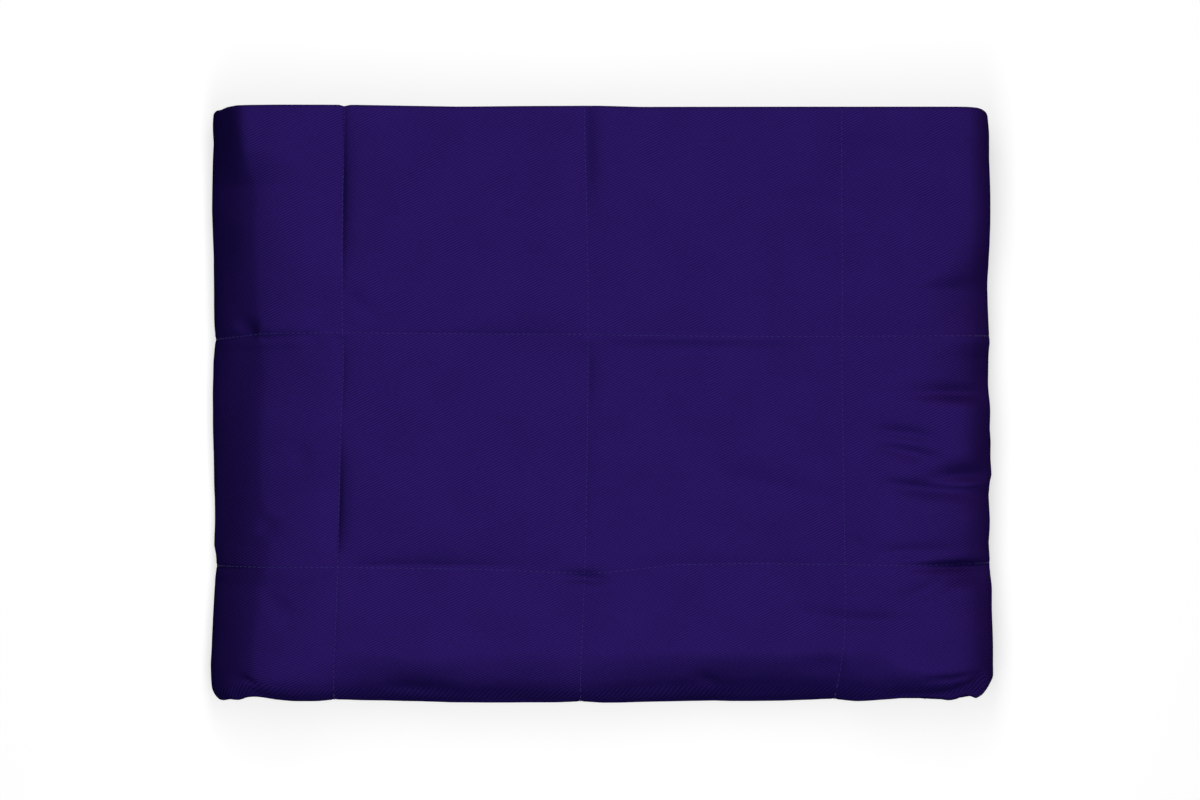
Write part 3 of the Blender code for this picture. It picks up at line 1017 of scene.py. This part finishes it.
# %% [markdown]
# ## Floor, light and camera
#
# The blanket lies on white paper that nearly glows, so its shadows stay pale. A long soft box with
# cool light hangs above, and a warm key light comes from the upper right, so faces that look down
# or to the left fall into shade and turn bluer there. Weak cool lights from the front, the right
# and the back keep the sides readable. The key and the front light are linked to the blanket alone,
# or they would draw shadows of their own on the floor. The paper is tinted, so that it looks white
# under the cool box. The camera looks straight down from far away through a long lens, so the sides
# hardly show.

# %% Floor
FLOOR_HALF = 6.0  # metres from the middle to its edges
PAPER, PAPER_GLOW = "DFBEBC", 0.72

bm = bmesh.new()
bmesh.ops.create_grid(bm, x_segments=1, y_segments=1, size=FLOOR_HALF)
floor = finished(bm, "floor")
paint, tree, shader = new_material(
    "white matt paper", Base_Color=linear(PAPER), Roughness=0.9, Specular_IOR_Level=0.1,
    Emission_Color=(1, 1, 1, 1), Emission_Strength=PAPER_GLOW)
floor.data.materials.append(paint)
floor.visible_diffuse = False  # or its light would fill in the dark side of the wrap

# %% Lights
WARM, COOL = (1.0, 0.74, 0.71), (0.68, 0.98, 1.0)  # the key is warmer than what fills the shade
WORLD_STRENGTH = 0.08
FAR = 3  # metres to the broad lights
KEY_FROM, FRONT_FROM = (0.27, 0.34, 0.86), (0.1, -0.6, 0.8)
FILLS_FROM = {"right fill": (1, 0.1, 0.4), "back fill": (-0.2, 1, 0.4)}
STRIP_SIZE, STRIP_AT, STRIP_POWER = (0.26, 1.3), (-0.01, 0.06, 0.85), 5.7

world = bpy.data.worlds.new("studio")
bpy.context.scene.world = world
world.use_nodes = True
world.node_tree.nodes["Background"].inputs["Color"].default_value = (*COOL, 1)
world.node_tree.nodes["Background"].inputs["Strength"].default_value = WORLD_STRENGTH


def soft_light(name, towards, size, power, tint):
    """A far, broad light, as wide in degrees as size says, that shines from one direction."""
    light = bpy.data.lights.new(name, "SUN")
    light.angle, light.energy, light.color = math.radians(size), power, tint
    lamp = in_the_scene(name, light)
    lamp.location = Vector(towards).normalized() * FAR
    lamp.rotation_euler = (-Vector(towards)).to_track_quat("-Z", "Y").to_euler()
    return lamp


strip = bpy.data.lights.new("strip box", "AREA")
strip.shape, (strip.size, strip.size_y) = "RECTANGLE", STRIP_SIZE
strip.energy, strip.color = STRIP_POWER, COOL
in_the_scene("strip box", strip).location = STRIP_AT
key = soft_light("key", KEY_FROM, size=20, power=1.85, tint=WARM)
front = soft_light("front", FRONT_FROM, size=40, power=0.32, tint=COOL)
for name, towards in FILLS_FROM.items():
    soft_light(name, towards, size=50, power=0.05, tint=COOL)

not_the_floor = bpy.data.collections.new("lit by the key and the front light")
for piece in (quilt, stitches):
    not_the_floor.objects.link(piece)
for lamp in (key, front):
    lamp.light_linking.receiver_collection = not_the_floor

# %% Camera
LENS, SENSOR = 150.0, 36.0  # mm
FRAME_WIDTH = 0.627  # metres across the picture, at the height of the folded edges
FOLD_HEIGHT = 0.055  # of those edges above the floor
CAMERA_X, CAMERA_Y = -0.0009, 0.0021  # puts the blanket where it lies in the picture

camera_data = bpy.data.cameras.new("camera")
camera_data.lens, camera_data.sensor_width = LENS, SENSOR
camera = in_the_scene("camera", camera_data)
camera.location = (CAMERA_X, CAMERA_Y, FOLD_HEIGHT + FRAME_WIDTH * LENS / SENSOR)
bpy.context.scene.camera = camera
bpy.context.scene.view_settings.view_transform = "Standard"
print(f"camera {camera.location.z:.2f} m up")

# %% [markdown]
# ## What the pieces are
#
# Both pieces ride on the blanket's one body. The quilt stands for the CAD solid, which is hidden,
# and the stitches go with it.

# %% Pieces and the end
for piece in (quilt, stitches):
    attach(piece, "root")
    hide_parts("blanket")
